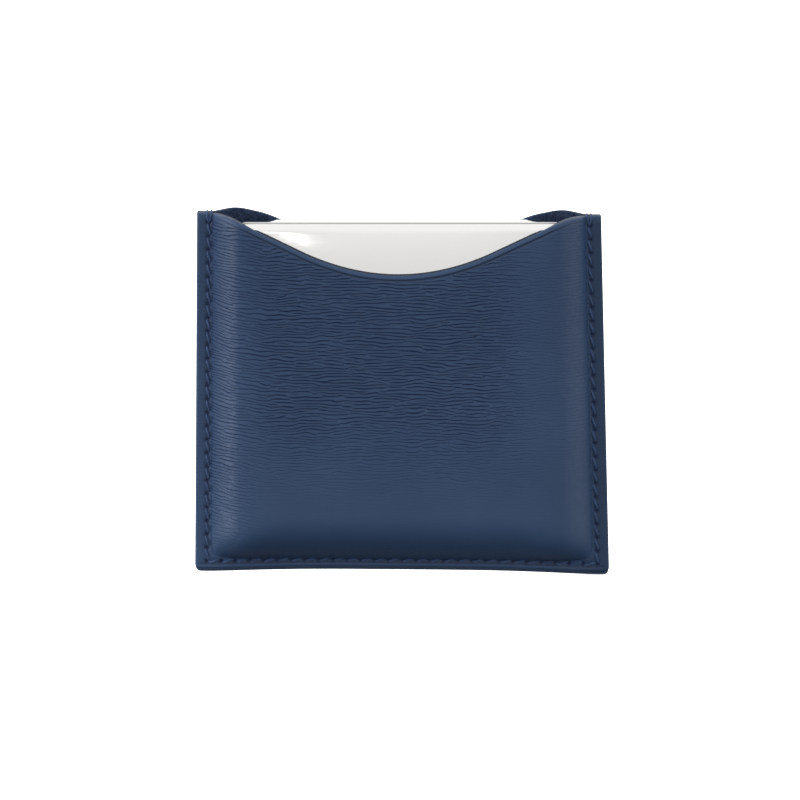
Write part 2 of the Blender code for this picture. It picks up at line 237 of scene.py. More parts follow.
class Nodes:
    """A short way to write a node material. Noise scales are per metre."""

    def __init__(self, name):
        self.material = bpy.data.materials.new(name)
        self.material.use_nodes = True
        self.tree = self.material.node_tree
        self.shader = self.tree.nodes["Principled BSDF"]

    def node(self, kind, inputs=None, **settings):
        made = self.tree.nodes.new(kind)
        for key, value in settings.items():
            setattr(made, key, value)
        for key, value in (inputs or {}).items():
            self.put(made.inputs[key], value)
        return made

    def put(self, socket, value):
        if isinstance(value, bpy.types.NodeSocket):
            self.tree.links.new(value, socket)
        else:
            socket.default_value = value

    def set(self, **values):
        for key, value in values.items():
            self.put(self.shader.inputs[key.replace("_", " ")], value)

    def position(self):
        return self.node("ShaderNodeTexCoord").outputs["Object"]

    def scaled(self, vector, scale):
        found = self.node("ShaderNodeMapping", {"Vector": vector, "Scale": scale})
        return found.outputs["Vector"]

    def noise(self, vector, scale=1.0, detail=2.0, roughness=0.5):
        inputs = {"Vector": vector, "Scale": scale, "Detail": detail, "Roughness": roughness}
        return self.node("ShaderNodeTexNoise", inputs).outputs["Fac"]

    def math(self, operation, first, second=0.0):
        made = self.node("ShaderNodeMath", {0: first, 1: second}, operation=operation)
        return made.outputs[0]

    def ramp(self, value, low, high, out_low=0.0, out_high=1.0):
        inputs = {"Value": value, "From Min": low, "From Max": high,
                  "To Min": out_low, "To Max": out_high}
        made = self.node("ShaderNodeMapRange", inputs, interpolation_type="SMOOTHSTEP")
        return made.outputs["Result"]

    def mix(self, factor, first, second):
        made = self.node("ShaderNodeMix", data_type="RGBA")
        self.put(made.inputs[0], factor)
        self.put(made.inputs[6], first)
        self.put(made.inputs[7], second)
        return made.outputs[2]

    def bump(self, height, distance, strength=1.0, normal=None):
        inputs = {"Height": height, "Distance": distance, "Strength": strength}
        if normal is not None:
            inputs["Normal"] = normal
        return self.node("ShaderNodeBump", inputs).outputs["Normal"]


def rgb(red, green, blue):
    return (red, green, blue, 1.0)


HIDE = {
    "dark": rgb(0.0198, 0.0440, 0.0990),
    "light": rgb(0.0224, 0.0488, 0.1080),
    # painted shade: colour of the grain's creases
    "crease": rgb(0.001, 0.012, 0.052),
    # painted shade towards the mouth
    "upper": rgb(0.005, 0.020, 0.062),
    # painted shade on the sewn margins
    "margin_shade": rgb(0.002, 0.012, 0.036),
    # painted highlight on the hem strip along the mouth
    "hem": rgb(0.034, 0.066, 0.130),
    # painted shade in the creased grooves
    "groove": rgb(0.004, 0.010, 0.032),
    # painted shade in the stitch holes
    "hole": rgb(0.001, 0.008, 0.040),
}


class HidePlace:
    """Where a point of the leather is: its coordinates and the marks painted on the mesh."""

    def __init__(self, m):
        self.m = m
        self.point = m.position()
        axes = m.node("ShaderNodeSeparateXYZ", {"Vector": self.point})
        self.x = axes.outputs["X"]
        self.z = axes.outputs["Z"]
        self.hem = self.mark("hem")
        self.sewn = self.mark("sewn")
        self.groove = self.mark("groove")
        self.hole = self.mark("hole")

    def mark(self, name):
        return self.m.node("ShaderNodeAttribute", attribute_name=name).outputs["Fac"]

    def along_x(self, start, end, low=0.0, high=1.0):
        return self.m.ramp(self.x, start * MM, end * MM, low, high)

    def along_z(self, start, end, low=0.0, high=1.0):
        return self.m.ramp(self.z, start * MM, end * MM, low, high)


def grain(m, at, shift):
    """1 on the leather and 0 in its creases: fine waves that run across and fan out left."""
    drift = m.noise(m.scaled(at.point, (170, 0, 330)), detail=1.5)
    lift = m.math("MULTIPLY", m.math("SUBTRACT", drift, 0.5), GRAIN_DRIFT * MM)
    outward = m.math("SUBTRACT", FAN_FROM * MM, at.x)
    slope = m.math("MULTIPLY", m.math("MAXIMUM", outward, 0.0), FAN_SLOPE)
    height = m.math("ADD", m.math("ADD", at.z, lift), slope)
    height = m.math("ADD", height, shift)
    across = m.math("MULTIPLY", at.x, 1 / (GRAIN_LENGTH * MM))
    up = m.math("MULTIPLY", height, 1 / (GRAIN_WAVES * GRAIN_PITCH * MM))
    flow = m.node("ShaderNodeCombineXYZ", {"X": across, "Y": up})
    ripple = m.node("ShaderNodeTexGabor", {"Vector": flow.outputs["Vector"], "Scale": 1.0,
                                           "Frequency": GRAIN_WAVES, "Anisotropy": 1.0,
                                           "Orientation": math.pi / 2}, gabor_type="2D")
    turn = m.math("SINE", m.math("MULTIPLY", ripple.outputs["Phase"], 2 * math.pi))
    even = m.math("SUBTRACT", 0.5, m.math("MULTIPLY", turn, GRAIN_EVENNESS))
    wave = m.math("MULTIPLY", m.math("ADD", ripple.outputs["Value"], even), 0.5)
    return m.ramp(wave, *CREASE_EDGES)


def grain_cover(m, at, plain_side):
    """How far the creases show: less towards the foot, the right side, the hem and the seam."""
    middle = at.along_z(*GRAIN_RISE)
    far_left = at.along_z(*FAR_LEFT_RISE)
    inward = at.along_x(*FAR_LEFT)
    upper = m.math("ADD", m.math("MULTIPLY", middle, inward),
                   m.math("MULTIPLY", far_left, m.math("SUBTRACT", 1.0, inward)))
    cover = m.math("MULTIPLY", upper, at.along_x(*RIGHT_FADE, low=1.0, high=plain_side))
    cover = m.math("MULTIPLY", cover, at.along_x(*LEFT_FADE, low=LEFT_SHARE))
    cover = m.math("MULTIPLY", cover, m.math("SUBTRACT", 1.0, at.hem))
    sewn = m.math("MULTIPLY", at.sewn, SEAM_SMOOTHING)
    cover = m.math("MULTIPLY", cover, m.math("SUBTRACT", 1.0, sewn))
    return m.math("ADD", m.math("MULTIPLY", cover, 1 - LEAST_COVER), LEAST_COVER)


def hide_colour(m, at, valley):
    """Navy with random tone; painted shade in the grain's creases, towards the mouth, on the sewn
    margins, in the creased grooves and in the stitch holes; a painted highlight on the hem.
    """
    cloud = m.noise(m.scaled(at.point, (60, 60, 60)), detail=3.0)
    colour = m.mix(m.ramp(cloud, 0.3, 0.7), HIDE["dark"], HIDE["light"])
    # Painted shade: darker colour in the grain's creases.
    colour = m.mix(m.math("MULTIPLY", valley, CREASE_SHADE), colour, HIDE["crease"])
    # Painted shade: darker towards the mouth.
    colour = m.mix(at.along_z(*MOUTH_SHADE_RISE, high=MOUTH_SHADE_SHARE), colour, HIDE["upper"])
    # Painted shade: the sewn margins darker, most on the right, on the left only higher up.
    left = m.math("MULTIPLY", at.along_x(*LEFT_MARGIN, low=LEFT_MARGIN_SHADE, high=0.0),
                  at.along_z(*LEFT_MARGIN_RISE))
    sides = m.math("ADD", at.along_x(*RIGHT_MARGIN, high=RIGHT_MARGIN_SHADE), left)
    colour = m.mix(m.math("MULTIPLY", at.sewn, sides), colour, HIDE["margin_shade"])
    # Painted highlight: the hem strip along the mouth made lighter.
    colour = m.mix(m.math("MULTIPLY", at.hem, HEM_HIGHLIGHT), colour, HIDE["hem"])
    # Painted shade: darker colour in the creased grooves along the mouth and the foot.
    colour = m.mix(m.math("MULTIPLY", at.groove, GROOVE_SHADE), colour, HIDE["groove"])
    # Painted shade: the stitch holes made dark.
    return m.mix(at.hole, colour, HIDE["hole"])


def leather_material(name, shift, plain_side):
    """Navy leather. shift moves its grain, plain_side is the share of it left on the right."""
    m = Nodes(name)
    at = HidePlace(m)
    creases = grain(m, at, shift)
    cover = grain_cover(m, at, plain_side)
    valley = m.math("MULTIPLY", m.math("SUBTRACT", 1.0, creases), cover)
    coarse = m.bump(creases, CREASE_RELIEF * MM, m.math("MULTIPLY", cover, CREASE_STRENGTH))
    pores = m.noise(at.point, scale=7000, detail=2.0)
    rough = m.ramp(m.noise(at.point, scale=900, detail=3.0), 0.3, 0.7, 0.42, 0.54)
    rough = m.math("ADD", rough, m.math("MULTIPLY", m.math("MAXIMUM", valley, at.hole), 0.3))
    m.set(Base_Color=hide_colour(m, at, valley), Roughness=rough,
          Normal=m.bump(pores, PORE_RELIEF * MM, 0.3, coarse))
    m.shader.inputs["Specular IOR Level"].default_value = HIDE_SPECULAR
    return m.material


def edge_material():
    """The painted cut edge of the leather: smooth and nearly matt."""
    m = Nodes("painted_edge")
    place = m.position()
    streak = m.noise(place, scale=1500, detail=3.0)
    colour = m.mix(streak, rgb(0.008, 0.018, 0.045), rgb(0.015, 0.032, 0.072))
    rough = m.ramp(streak, 0.3, 0.7, 0.45, 0.60)
    m.set(Base_Color=colour, Roughness=rough, Normal=m.bump(streak, 0.03 * MM, 0.5))
    m.shader.inputs["Specular IOR Level"].default_value = 0.2
    return m.material


def suede_material():
    m = Nodes("navy_suede")
    place = m.position()
    nap = m.noise(place, scale=3200, detail=4.0, roughness=0.7)
    cloud = m.noise(place, scale=500, detail=2.0)
    mixed = m.math("ADD", m.math("MULTIPLY", nap, 0.7), m.math("MULTIPLY", cloud, 0.3))
    colour = m.mix(m.ramp(mixed, 0.35, 0.65), rgb(0.004, 0.008, 0.022), rgb(0.034, 0.052, 0.098))
    m.set(Base_Color=colour, Roughness=0.95, Normal=m.bump(nap, 0.2 * MM, 0.8))
    m.shader.inputs["Specular IOR Level"].default_value = 0.1
    return m.material


def thread_material():
    m = Nodes("waxed_thread")
    place = m.position()
    fibre = m.noise(place, scale=5200, detail=3.0, roughness=0.6)
    colour = m.mix(fibre, rgb(0.010, 0.027, 0.078), rgb(0.036, 0.074, 0.160))
    m.set(Base_Color=colour, Roughness=0.55, Normal=m.bump(fibre, 0.06 * MM, 0.7))
    m.shader.inputs["Sheen Weight"].default_value = 0.1
    m.shader.inputs["Specular IOR Level"].default_value = 0.2
    return m.material


METALS = {
    "case": (0.665, 0.660, 0.648),
    # darker than the case metal: painted shade of the parting gap
    "rim": (0.46, 0.46, 0.45),
    "mirror": (0.93, 0.94, 0.95),
    "pan": (0.78, 0.78, 0.80),
    "magnet": (0.55, 0.55, 0.57),
    "pin": (0.62, 0.62, 0.64),
}


def metal_material(name, colour, roughness, brushed):
    """Bright metal with faint wipe marks; brushed sets how long the marks run."""
    m = Nodes(name)
    place = m.position()
    marks = m.noise(m.scaled(place, (90, 2400, 2400 / brushed)), detail=3.0)
    haze = m.noise(place, scale=70, detail=2.0)
    worn = m.math("ADD", m.math("MULTIPLY", marks, 0.6), m.math("MULTIPLY", haze, 0.4))
    rough = m.ramp(worn, 0.25, 0.75, roughness * 0.75, roughness * 1.35)
    tint = m.mix(worn, rgb(*colour), rgb(*(min(1.0, value * 1.04) for value in colour)))
    m.set(Base_Color=tint, Roughness=rough, Normal=m.bump(marks, 0.004 * MM, 0.3))
    m.shader.inputs["Metallic"].default_value = 1.0
    return m.material


def plastic_material():
    m = Nodes("moulded_liner")
    place = m.position()
    spark = m.noise(place, scale=4000, detail=2.0)
    colour = m.mix(spark, rgb(0.035, 0.035, 0.038), rgb(0.055, 0.055, 0.060))
    m.set(Base_Color=colour, Roughness=m.ramp(spark, 0.3, 0.7, 0.38, 0.5),
          Normal=m.bump(spark, 0.03 * MM, 0.4))
    return m.material


def powder_material():
    m = Nodes("pressed_powder")
    place = m.position()
    dust = m.noise(place, scale=5000, detail=4.0, roughness=0.7)
    colour = m.mix(dust, rgb(0.62, 0.33, 0.27), rgb(0.78, 0.47, 0.40))
    m.set(Base_Color=colour, Roughness=0.95, Normal=m.bump(dust, 0.08 * MM, 0.6))
    return m.material


def floor_material():
    m = Nodes("pale_floor")
    place = m.position()
    cloud = m.noise(place, scale=1.5, detail=2.0)
    m.set(Base_Color=m.mix(cloud, rgb(0.93, 0.93, 0.93), rgb(0.96, 0.96, 0.96)), Roughness=0.9)
    m.shader.inputs["Emission Color"].default_value = rgb(1.0, 1.0, 1.0)
    m.shader.inputs["Emission Strength"].default_value = FLOOR_GLOW
    return m.material


# ---------------------------------------------------------------- mesh helpers

def make_object(name, vertices, faces, materials, slots=None):
    mesh = bpy.data.meshes.new(name)
    mesh.from_pydata([tuple(vertex) for vertex in np.asarray(vertices) * MM], [], faces)
    mesh.shade_smooth()
    for material in materials:
        mesh.materials.append(material)
    if slots is not None:
        mesh.polygons.foreach_set("material_index", slots)
    mesh.update()
    made = bpy.data.objects.new(name, mesh)
    bpy.context.scene.collection.objects.link(made)
    return made


def grid_faces(rows, columns, start=0, flip=False, wrap=False):
    """Quads of a grid whose points are stored row by row from index start."""
    faces = []
    last = columns if wrap else columns - 1
    for row in range(rows - 1):
        for column in range(last):
            a = start + row * columns + column
            b = start + row * columns + (column + 1) % columns
            quad = (a, b, b + columns, a + columns)
            faces.append(quad[::-1] if flip else quad)
    return faces


def stations(stops, counts):
    """Evenly divide each stretch between stops into its count of steps."""
    parts = [np.linspace(a, b, n, endpoint=False) for a, b, n in zip(stops, stops[1:], counts)]
    return np.concatenate(parts + [[stops[-1]]])


# ---------------------------------------------------------------- sleeve form

def climb(t):
    """Leather leaving a flat seam: steep at first, on the case's edge at t = 1, then crowned."""
    t = np.clip(t, 0.0, None)
    start = 2 - SHOULDER_SLOPE
    lower = start * t - (start - SHOULDER_SLOPE) * t ** 2 / 2
    past = np.clip(t - 1, 0.0, SHOULDER_REACH)
    upper = 1 + SHOULDER_SLOPE * (past - past ** 2 / (2 * SHOULDER_REACH))
    return np.where(t < 1, lower, upper)


def half_width(z):
    return (FOOT_WIDTH - MOUTH_TAPER * z / CORNER_HEIGHT) / 2


def foot_line(x):
    t = np.clip(1.0 - (2 * x / FOOT_WIDTH) ** 2, 0.0, 1.0)
    return FOOT_RISE * t * t * (3 - 2 * t)


def mouth_line(x, scoop, hump, shift):
    """Height of the mouth edge: an arc with straight shoulders, scooped out of the middle."""
    side = np.abs(x - shift)
    reach = SCOOP_SLOPE * SCOOP_RADIUS
    bend = np.minimum(side, reach)
    climb_out = bend ** 2 / (2 * SCOOP_RADIUS) + SCOOP_SLOPE * (side - bend)
    room = scoop - climb_out
    cut = (room + np.hypot(room, SCOOP_BLEND)) / 2
    swell = hump * np.exp(-((np.abs(x) - HUMP_CENTRE) / HUMP_SPREAD) ** 2)
    return CORNER_HEIGHT - cut + swell


def fullness(x, z):
    """0 where the panels are sewn together, 1 at the case's edges, more in the middle."""
    seam = half_width(z) - FLANGE
    across = climb((seam - np.abs(x)) / (seam - POCKET_HALF))
    t = np.clip((z - FLANGE) / (POCKET_FLOOR - FLANGE), 0.0, 1.0)
    corner = np.clip((np.abs(x) - CORNER_FROM) / (POCKET_HALF - CORNER_FROM), 0.0, 1.0)
    up = 1 - (1 - t) ** (FOOT_ROUNDING + CORNER_FULLNESS * corner ** 2)
    return across * up


def curl(x, z):
    """How far the sewn sides bend back from the flat."""
    past = np.clip((np.abs(x) - half_width(z) + FLANGE) / FLANGE, 0.0, 1.0)
    return FLANGE_CURL * past ** 1.2


def grid_places(detail):
    """Places of a ply's columns, from -1 to 1, and of its rows, stretch by stretch."""
    count = [max(2, round(n * detail)) for n in (*SIDE_COUNTS, MIDDLE_COLUMNS,
                                                 *FOOT_COUNTS, MIDDLE_ROWS, MOUTH_ROWS)]
    half = FOOT_WIDTH / 2
    inner = 1 - SIDE_BAND / half
    outer = 1 - FLANGE / half
    across = stations([-1, -outer, -inner, inner, outer, 1],
                      [count[0], count[1], count[2], count[1], count[0]])
    low = stations([0, FLANGE, POCKET_FLOOR], [count[3], count[4]])
    middle = np.linspace(0, 1, count[5] + 1)[1:]
    top = np.linspace(1, 0, count[6] + 1)[1:]
    return across, (("low", low), ("middle", middle), ("top", top))


class Ply:
    """One ply of the sleeve, sampled on a grid of rows (foot to mouth) and columns."""

    def __init__(self, seam_y, full_y, mouth, growth, detail=1.0, trim=0.0):
        self.growth = growth
        self.mouth = mouth
        self.trim = trim
        across, stretches = grid_places(detail)
        rows = [self.row(across, kind, value) for kind, values in stretches for value in values]
        grid = np.array(rows)
        self.x = grid[:, 0]
        self.z = grid[:, 1]
        self.from_mouth = (mouth_line(self.x, *mouth) - self.z) / self.steepness(self.x)
        self.from_foot = self.z - foot_line(self.x) - trim
        full = fullness(self.x, self.z)
        crown = np.clip(full - 1, 0, None) * np.exp(-self.from_mouth / MOUTH_HOLD)
        self.y = seam_y + (full_y - seam_y) * (full - crown) + curl(self.x, self.z)
        self.from_side = half_width(self.z) - np.abs(self.x)
        self.round_corners()

    def steepness(self, x):
        """Height of a band along the mouth edge for each unit of its width."""
        line = np.linspace(-FOOT_WIDTH / 2, FOOT_WIDTH / 2, SLOPE_SAMPLES)
        slope = np.gradient(mouth_line(line, *self.mouth), line)
        return np.hypot(1, np.interp(x, line, slope))

    def row(self, across, kind, value):
        """Points (x, z) of one row, at value along its stretch of the height."""
        level = {
            "low": value,
            "middle": POCKET_FLOOR + (CORNER_HEIGHT - MOUTH_BAND - POCKET_FLOOR) * value,
            "top": CORNER_HEIGHT - MOUTH_BAND * value}[kind]
        x = across * half_width(level)
        foot = foot_line(x) + self.trim
        edge = mouth_line(x, *self.mouth)
        band = MOUTH_BAND * self.steepness(x)
        if kind == "low":
            return x, foot + (POCKET_FLOOR - foot) * value / POCKET_FLOOR
        if kind == "middle":
            return x, POCKET_FLOOR + (edge - band - POCKET_FLOOR) * value
        return x, edge - band * value

    def round_corners(self):
        """Pull the two foot corners on to a small arc."""
        centre_x = half_width(0) - CORNER_RADIUS
        centre_z = CORNER_RADIUS + self.trim
        side = np.abs(self.x) - centre_x
        down = centre_z - self.z
        inside = (side > 0) & (down > 0)
        reach = np.hypot(side, down)
        square = np.maximum(side, down)
        share = np.where(reach > 0, square / np.maximum(reach, 1e-9), 1.0)
        new_x = np.sign(self.x) * (centre_x + side * share)
        new_z = centre_z - down * share
        self.x = np.where(inside, new_x, self.x)
        self.z = np.where(inside, new_z, self.z)

    def points(self):
        return np.stack([self.x, self.y, self.z], axis=-1)

    def normals(self):
        """Unit normals that point the way the ply grows."""
        points = self.points()
        along = np.gradient(points, axis=1)
        up = np.gradient(points, axis=0)
        normal = np.cross(along, up)
        normal /= np.maximum(np.linalg.norm(normal, axis=-1, keepdims=True), 1e-9)
        facing = np.sign(normal[..., 1]) * self.growth
        return normal * np.where(facing < 0, -1, 1)[..., None]


def skewed(points):
    """The hand-sewn sleeve is not quite square: its right side hangs lower."""
    moved = np.array(points, dtype=float)
    moved[..., 2] = points[..., 2] - SKEW * points[..., 0]
    moved[..., 0] = points[..., 0] - SKEW * (points[..., 2] - CORNER_HEIGHT / 2)
    return moved


def rounded_edge(distance, radius):
    """How far a surface drops at a distance from an edge that is rounded to radius."""
    inside = np.clip(distance, 0, radius)
    return radius - np.sqrt(np.maximum(radius ** 2 - (radius - inside) ** 2, 0))


def close_sheet(name, outer, inner, growth, materials, edge_slot, attributes):
    """Join two faces of a sheet along their four borders into one closed solid."""
    rows, columns = outer.shape[:2]
    total = rows * columns
    vertices = np.concatenate([skewed(outer).reshape(-1, 3), skewed(inner).reshape(-1, 3)])
    towards_back = growth > 0
    faces = grid_faces(rows, columns, 0, flip=towards_back)
    faces += grid_faces(rows, columns, total, flip=not towards_back)
    sheet_faces = len(faces)
    border = [(0, c) for c in range(columns)]
    border += [(r, columns - 1) for r in range(1, rows)]
    border += [(rows - 1, c) for c in range(columns - 2, -1, -1)]
    border += [(r, 0) for r in range(rows - 2, 0, -1)]
    ring = [r * columns + c for r, c in border]
    for a, b in zip(ring, ring[1:] + ring[:1]):
        quad = (b, a, a + total, b + total)
        faces.append(quad[::-1] if towards_back else quad)
    slots = np.zeros(len(faces), dtype=np.int32)
    slots[sheet_faces:] = edge_slot
    made = make_object(name, vertices, faces, materials, slots)
    for label, values in attributes.items():
        layer = made.data.attributes.new(label, "FLOAT", "POINT")
        both = np.concatenate([values.reshape(-1), np.zeros(total)])
        layer.data.foreach_set("value", both.astype(np.float32))
    return made


# ---------------------------------------------------------------- seam

def seam_holes():
    """Points (x, z) of the stitch holes: down the left side, along the foot, up the right."""
    top = CORNER_HEIGHT - TOP_HOLE_DROP
    low = STITCH_MARGIN
    left_top = -half_width(top) + STITCH_MARGIN
    left_low = -half_width(low) + STITCH_MARGIN
    down = np.linspace(0, 1, SIDE_STITCHES + 1)
    left = [(left_top + (left_low - left_top) * t, top + (low - top) * t) for t in down]
    along = np.linspace(left_low, -left_low, FOOT_STITCHES + 1)[1:]
    foot = [(x, low + foot_line(x)) for x in along]
    right = [(-x, z) for x, z in left[::-1]][1:]
    return np.array(left + foot + right)


def seam_relief(ply):
    """(depth pressed into the leather, painted shade of the stitch holes) near the line of
    stitches.
    """
    holes = seam_holes()
    dark = np.zeros_like(ply.x)
    top = CORNER_HEIGHT - TOP_HOLE_DROP
    side_line = np.abs(np.abs(ply.x) - (half_width(ply.z) - STITCH_MARGIN))
    foot_gap = np.abs(ply.z - STITCH_MARGIN - foot_line(ply.x))
    on_side = (ply.z > STITCH_MARGIN) & (ply.z < top + 1)
    on_foot = np.abs(ply.x) < half_width(0) - STITCH_MARGIN
    near = np.minimum(np.where(on_side, side_line, FAR), np.where(on_foot, foot_gap, FAR))
    depth = VALLEY_DEPTH * np.exp(-(near / VALLEY_WIDTH) ** 2)
    for x, z in holes:
        reach = (ply.x - x) ** 2 + (ply.z - z) ** 2
        spot = np.exp(-reach / PINCH_WIDTH ** 2)
        depth += PINCH_DEPTH * spot
        dark = np.maximum(dark, np.exp(-(reach / HOLE_WIDTH ** 2) ** 1.5))
    return depth, dark


def panel(name, growth, seam_y, full_y, mouth, trim, materials):
    ply = Ply(seam_y, full_y, mouth, growth, trim=trim)
    normal = ply.normals()
    pressed, dark = seam_relief(ply)
    edge = np.minimum(np.minimum(ply.from_mouth, ply.from_foot), ply.from_side)
    gap = ply.from_mouth - CREASE_INSET
    crease = np.exp(-(gap / CREASE_WIDTH) ** 2)
    crease -= CREASE_SWELL * np.exp(-((gap + 2 * CREASE_WIDTH) / CREASE_WIDTH) ** 2)
    crease *= np.clip((CREASE_END - np.abs(ply.x)) / CREASE_FADE, 0, 1)
    low_gap = ply.from_foot - CREASE_INSET
    low_crease = np.exp(-(low_gap / CREASE_WIDTH) ** 2) * (ply.from_side > CREASE_INSET)
    crease += FOOT_CREASE * low_crease
    # Marks the creased grooves, where the hide's colour gets painted shade.
    groove = np.clip(crease, 0, 1)
    crease *= CREASE_DEPTH
    hem = np.clip((HEM - ply.from_mouth) / HEM_FADE, 0, 1)
    thick = LEATHER - rounded_edge(edge, EDGE_ROUND) - crease - pressed
    outer = ply.points() + normal * thick[..., None]
    from_sewn = np.minimum(ply.from_side, ply.from_foot) - STITCH_MARGIN
    sewn = np.clip(1 - from_sewn / SEWN_FADE, 0, 1)
    made = close_sheet(name, outer, ply.points(), growth, materials, 1,
                       {"sewn": sewn, "hole": dark, "groove": groove, "hem": hem})
    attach(made, "sleeve")
    return made


def lining(name, growth, seam_y, full_y, mouth, trim, materials):
    ply = Ply(seam_y, full_y, mouth, growth, detail=0.5, trim=trim)
    normal = ply.normals()
    edge = np.minimum(np.minimum(ply.from_mouth, ply.from_foot), ply.from_side)
    thick = LINING - SUEDE_ROUNDING * rounded_edge(edge, LINING / 2)
    inner = ply.points() + normal * thick[..., None]
    made = close_sheet(name, inner, ply.points(), growth, materials, 1, {})
    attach(made, "sleeve")
    return made


def build_sleeve(edge, suede):
    front_hide = leather_material("front_hide", shift=0.0, plain_side=0.14)
    back_hide = leather_material("back_hide", shift=0.31, plain_side=0.9)
    front_seam = FLANGE_Y - LINING_GAP / 2 - LINING
    back_seam = FLANGE_Y + LINING_GAP / 2 + LINING
    front_full = LID_LOW[1] - CASE_GAP - LINING
    back_full = CASE_HIGH[1] + CASE_GAP + LINING
    front_mouth = (FRONT_SCOOP, FRONT_HUMP, FRONT_SHIFT)
    back_mouth = (BACK_SCOOP, BACK_HUMP, BACK_SHIFT)
    front = panel("front_leather", -1, front_seam - GLUE_GAP, front_full - GLUE_GAP,
                  front_mouth, FOOT_STEP, [front_hide, edge])
    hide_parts("front_panel")
    back = panel("back_leather", 1, back_seam + GLUE_GAP, back_full + GLUE_GAP,
                 back_mouth, 0.0, [back_hide, edge])
    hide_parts("back_panel")
    inside = lining("front_suede", 1, front_seam, front_full, front_mouth, FOOT_STEP,
                    [suede, edge])
    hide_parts("front_lining")
    behind = lining("back_suede", -1, back_seam, back_full, back_mouth, FOOT_STEP,
                    [suede, edge])
    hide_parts("back_lining")


# ---------------------------------------------------------------- stitches

def tube(path, radius):
    """Rows of points of a two-ply twisted thread along path; add_tube closes its ends with flat
    caps.
    """
    path = np.asarray(path, dtype=float)
    tangent = np.gradient(path, axis=0)
    tangent /= np.linalg.norm(tangent, axis=1, keepdims=True)
    steps = np.linalg.norm(np.diff(path, axis=0), axis=1)
    run = np.concatenate([[0], np.cumsum(steps)])
    side = np.cross(tangent, OFF_AXIS)
    side /= np.linalg.norm(side, axis=1, keepdims=True)
    up = np.cross(side, tangent)
    angle = np.arange(THREAD_SIDES) * 2 * math.pi / THREAD_SIDES
    rows = []
    for centre, a, b, length in zip(path, side, up, run):
        turn = angle - 2 * math.pi * length / PLY_TWIST
        width = radius * (1 - PLY_DEPTH + PLY_DEPTH * np.cos(2 * turn))
        ring = centre + np.outer(np.cos(angle) * width, a) + np.outer(np.sin(angle) * width, b)
        rows.append(ring)
    return rows


def add_tube(vertices, faces, path, radius):
    rows = tube(path, radius)
    start = len(vertices)
    for ring in rows:
        vertices.extend(ring)
    faces += grid_faces(len(rows), THREAD_SIDES, start, wrap=True)
    last = start + (len(rows) - 1) * THREAD_SIDES
    faces.append(tuple(range(start, start + THREAD_SIDES))[::-1])
    faces.append(tuple(range(last, last + THREAD_SIDES)))


def stitch_path(first, second, face_y, outward, slant):
    """One stitch: out of a hole, across the leather at a slant, and down into the next."""
    run = second - first
    length = np.linalg.norm(run)
    across = np.array([-run[1], run[0]]) / length
    t = np.linspace(0, 1, THREAD_STEPS)
    lean = slant * np.cos(math.pi * t)
    flat = first + np.outer(STITCH_INSET + (1 - 2 * STITCH_INSET) * t, run) + np.outer(lean, across)
    arch = np.sin(math.pi * t) ** 0.5
    height = arch * (SUNK_ENDS + THREAD_PROUD) - SUNK_ENDS
    y = face_y + outward * height + curl(flat[:, 0], flat[:, 1])
    return np.stack([flat[:, 0], y, flat[:, 1]], axis=1)


def wrap_path(x, shift, front_y, back_y):
    """Thread from the top hole on the front, over the mouth's edge, to the back."""
    hole = CORNER_HEIGHT - TOP_HOLE_DROP
    corners = np.array([
        (x, front_y + 0.4, hole),
        (x + WRAP_LEAN * shift, front_y - THREAD_PROUD, hole + 0.35),
        (x + shift, front_y - THREAD_PROUD, WRAP_TOP - 0.55),
        (x + shift, front_y + 0.25, WRAP_TOP),
        (x + shift, back_y - 0.25, WRAP_TOP),
        (x + shift, back_y + THREAD_PROUD, WRAP_TOP - 0.55),
        (x + WRAP_LEAN * shift, back_y + THREAD_PROUD, hole + 0.35),
        (x, back_y - 0.4, hole),
    ])
    places = range(len(corners))
    fine = np.linspace(0, len(corners) - 1, WRAP_STEPS)
    path = np.stack([np.interp(fine, places, corners[:, axis]) for axis in range(3)], 1)
    for _ in range(WRAP_SMOOTHING):
        path[1:-1] = (path[:-2] + 2 * path[1:-1] + path[2:]) / 4
    return path


def build_stitches(material):
    half = LEATHER + GLUE_GAP + LINING + LINING_GAP / 2
    front_y = FLANGE_Y - half + VALLEY_DEPTH
    back_y = FLANGE_Y + half - VALLEY_DEPTH
    over_x = half_width(CORNER_HEIGHT) - STITCH_MARGIN
    bent = float(curl(over_x, CORNER_HEIGHT))
    holes = seam_holes()
    for name, node, face_y, outward, slant in (
            ("front_stitches", "front_seam_thread", front_y, -1, THREAD_SLANT),
            ("back_stitches", "back_seam_thread", back_y, 1, BACK_SLANT)):
        vertices = []
        faces = []
        for first, second in zip(holes, holes[1:]):
            path = stitch_path(first, second, face_y, outward, slant)
            add_tube(vertices, faces, skewed(path), THREAD_RADIUS)
        if outward < 0:
            for x in (holes[0][0], holes[-1][0]):
                for shift in (-WRAP_SHIFT, WRAP_SHIFT):
                    path = wrap_path(x, shift, front_y + bent, back_y + bent)
                    add_tube(vertices, faces, skewed(path), WRAP_RADIUS)
        made = make_object(name, vertices, faces, [material])
        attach(made, "sleeve")
        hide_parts(node)


# ---------------------------------------------------------------- compact case

